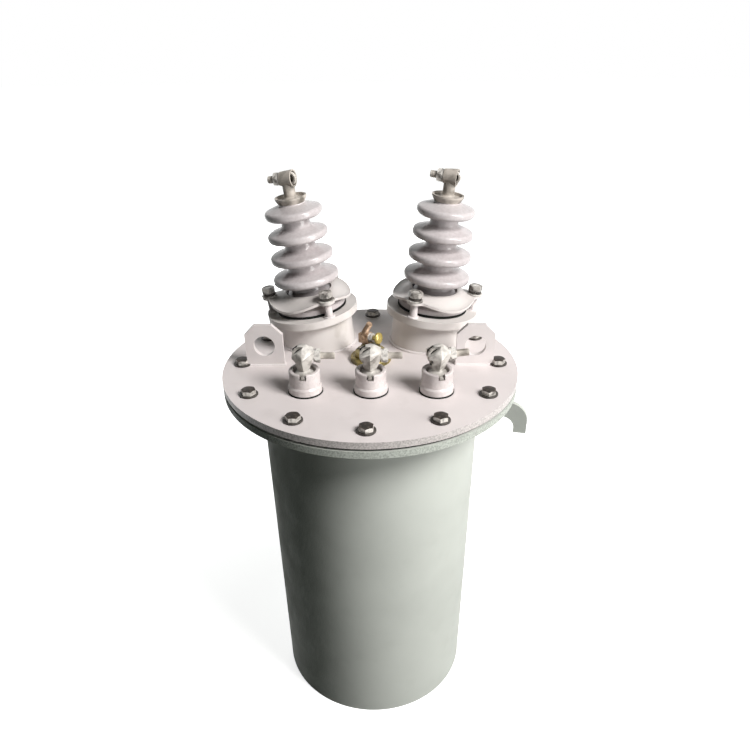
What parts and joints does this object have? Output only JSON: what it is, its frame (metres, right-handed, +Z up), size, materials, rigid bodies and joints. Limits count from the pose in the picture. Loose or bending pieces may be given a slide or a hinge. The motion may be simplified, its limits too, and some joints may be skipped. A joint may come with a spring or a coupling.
{
  "type": "pole mounted distribution transformer",
  "caption": "Round oil-filled transformer tank with a bolted lid, leaning shed insulators, low voltage bushings with eye terminals, lifting eyes and side hooks.",
  "frame": {"origin": "middle of the tank's flat underside, on the tank's axis", "axes": "+Z up along the tank, -Y toward the low voltage side, +X to the right seen from there"},
  "size_m": [0.4672, 0.434, 0.8622],
  "materials": {
    "tank_paint": "semi-gloss grey-green paint",
    "lid_paint": "semi-gloss light grey paint",
    "hv_glaze": "glossy light grey glaze",
    "lv_glaze": "glossy off-white glaze",
    "gasket_rubber": "matt black",
    "clamp_paint": "light grey paint on pressed steel",
    "tinned": "dull tinned bronze",
    "zinc": "zinc plated steel",
    "brass_fitting": "turned brass",
    "copper_fitting": "copper alloy"
  },
  "bodies": {
    "root": {"tank_shell": "tank_paint", "tank_base": "tank_paint", "tank_flange": "tank_paint", "lid_gasket": "gasket_rubber", "lid_plate": "lid_paint", "lifting_eye_left": "lid_paint", "side_hook_left": "tank_paint", "hv_turret_left": "lid_paint", "hv_turret_ring_left": "lid_paint", "hv_seal_left": "gasket_rubber", "hv_porcelain_left": "hv_glaze", "hv_clamp_left": "clamp_paint", "hv_studs_left": "zinc", "hv_terminal_left": "tinned", "hv_eyebolt_left": "tinned", "lifting_eye_right": "lid_paint", "side_hook_right": "tank_paint", "hv_turret_right": "lid_paint", "hv_turret_ring_right": "lid_paint", "hv_seal_right": "gasket_rubber", "hv_porcelain_right": "hv_glaze", "hv_clamp_right": "clamp_paint", "hv_studs_right": "zinc", "hv_terminal_right": "tinned", "hv_eyebolt_right": "tinned", "lv_seal_left": "gasket_rubber", "lv_porcelain_left": "lv_glaze", "lv_terminal_left": "tinned", "lv_eyebolt_left": "tinned", "lv_seal_middle": "gasket_rubber", "lv_porcelain_middle": "lv_glaze", "lv_terminal_middle": "tinned", "lv_eyebolt_middle": "tinned", "lv_seal_right": "gasket_rubber", "lv_porcelain_right": "lv_glaze", "lv_terminal_right": "tinned", "lv_eyebolt_right": "tinned", "fitting_base": "brass_fitting", "fitting_body": "brass_fitting", "fitting_block": "copper_fitting", "fitting_rod": "copper_fitting", "fitting_knob": "brass_fitting"}
  },
  "joints": []
}
